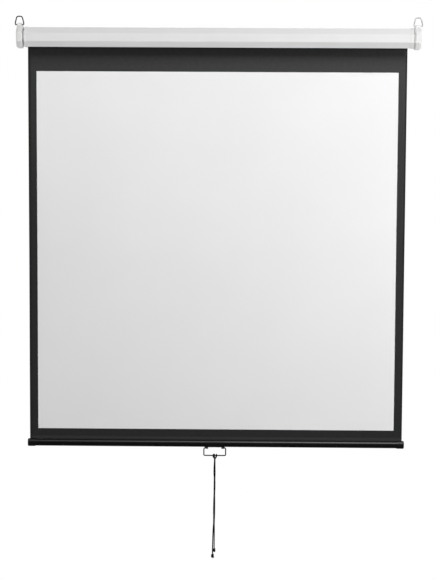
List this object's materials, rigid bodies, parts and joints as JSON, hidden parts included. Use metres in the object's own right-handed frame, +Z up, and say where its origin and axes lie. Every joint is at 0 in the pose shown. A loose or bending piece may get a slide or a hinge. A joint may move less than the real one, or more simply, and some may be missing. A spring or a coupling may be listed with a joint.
{
  "type": "wall-mounted projection screen",
  "caption": "Manual pull-down projection screen: octagonal white case on wire hanging loops, spring roller with stop, black-bordered white cloth, round bottom bar, bail and pull cord.",
  "frame": {"origin": "midway between the two hanging loops, on the wall plane that the end caps rest on, at the height of the loops' inner tops where the wall hooks carry them", "axes": "+X to the right as the screen is watched, +Y into the wall, +Z up"},
  "size_m": [1.683, 0.094, 2.281],
  "materials": {
    "white_paint": "smooth satin white paint on sheet steel",
    "white_moulding": "satin white moulded plastic",
    "loop_steel": "drawn steel wire",
    "zinc_steel": "zinc-plated steel",
    "roller_steel": "galvanised steel tube",
    "screen_cloth": "matt white coated cloth with a black printed border and back",
    "border_cloth": "black face of the coated cloth",
    "black_paint": "satin black paint on steel tube",
    "black_moulding": "black moulded plastic",
    "pale_nylon": "natural nylon",
    "black_cord": "black braided cord"
  },
  "bodies": {
    "housing": {"case": "white_paint", "left_end_cap": "white_moulding", "right_end_cap": "white_moulding", "left_cap_screws": "zinc_steel", "right_cap_screws": "zinc_steel", "left_roller_bracket": "zinc_steel", "right_roller_bracket": "zinc_steel", "left_bracket_screws": "zinc_steel", "right_bracket_screws": "zinc_steel", "idle_bush": "pale_nylon", "spear": "zinc_steel", "spring_collar": "pale_nylon", "collar_pin": "zinc_steel", "torsion_spring": "zinc_steel", "ratchet_wheel": "zinc_steel", "screen_fabric": "screen_cloth"},
    "roller": {"roller_tube": "roller_steel", "fabric_roll": "border_cloth", "idle_plug": "pale_nylon", "idle_pin": "zinc_steel", "spear_plug": "pale_nylon", "pawl_pins": "zinc_steel"},
    "upper_pawl": {"upper_pawl": "zinc_steel"},
    "lower_pawl": {"lower_pawl": "zinc_steel"},
    "bottom_bar": {"bottom_bar": "black_paint", "left_bar_cap": "black_moulding", "right_bar_cap": "black_moulding", "hem_spline": "pale_nylon", "handle_saddle": "black_moulding", "saddle_screws": "zinc_steel"},
    "pull_bail": {"pull_bail": "loop_steel"},
    "pull_cord": {"cord_hitch": "black_cord", "cord_long_strand": "black_cord", "cord_short_strand": "black_cord", "cord_long_knot": "black_cord", "cord_short_knot": "black_cord"},
    "left_hanging_loop": {"left_hanging_loop": "loop_steel"},
    "right_hanging_loop": {"right_hanging_loop": "loop_steel"}
  },
  "joints": [
    {"name": "screen_slide", "type": "slide", "parent": "housing", "child": "bottom_bar", "axis": [0, 0, 1], "range_m": [0, 1.64], "deforming": ["screen_fabric"]},
    {"name": "roller_spin", "type": "hinge", "parent": "housing", "child": "roller", "pos_m": [0, -0.047, -0.082], "axis": [1, 0, 0], "range_deg": [0, 5310]},
    {"name": "upper_pawl_swing", "type": "hinge", "parent": "roller", "child": "upper_pawl", "pos_m": [0.7874, -0.047, -0.071], "axis": [1, 0, 0], "range_deg": [-16, 0]},
    {"name": "lower_pawl_swing", "type": "hinge", "parent": "roller", "child": "lower_pawl", "pos_m": [0.7874, -0.047, -0.093], "axis": [1, 0, 0], "range_deg": [-16, 0]},
    {"name": "bail_swing", "type": "hinge", "parent": "bottom_bar", "child": "pull_bail", "pos_m": [-0.008, -0.0317, -1.8012], "axis": [-1, 0, 0], "range_deg": [-60, 90]},
    {"name": "cord_swing", "type": "hinge", "parent": "pull_bail", "child": "pull_cord", "pos_m": [-0.008, -0.0317, -1.834], "axis": [1, 0, 0], "range_deg": [-75, 75]},
    {"name": "left_loop_swing", "type": "hinge", "parent": "housing", "child": "left_hanging_loop", "pos_m": [-0.822, -0.047, -0.0322], "axis": [1, 0, 0], "range_deg": [-90, 90]},
    {"name": "right_loop_swing", "type": "hinge", "parent": "housing", "child": "right_hanging_loop", "pos_m": [0.822, -0.047, -0.0322], "axis": [1, 0, 0], "range_deg": [-90, 90]}
  ],
  "couplings": [
    {"joint": "roller_spin", "follows": "screen_slide", "rad_per_m": 56.51}
  ]
}
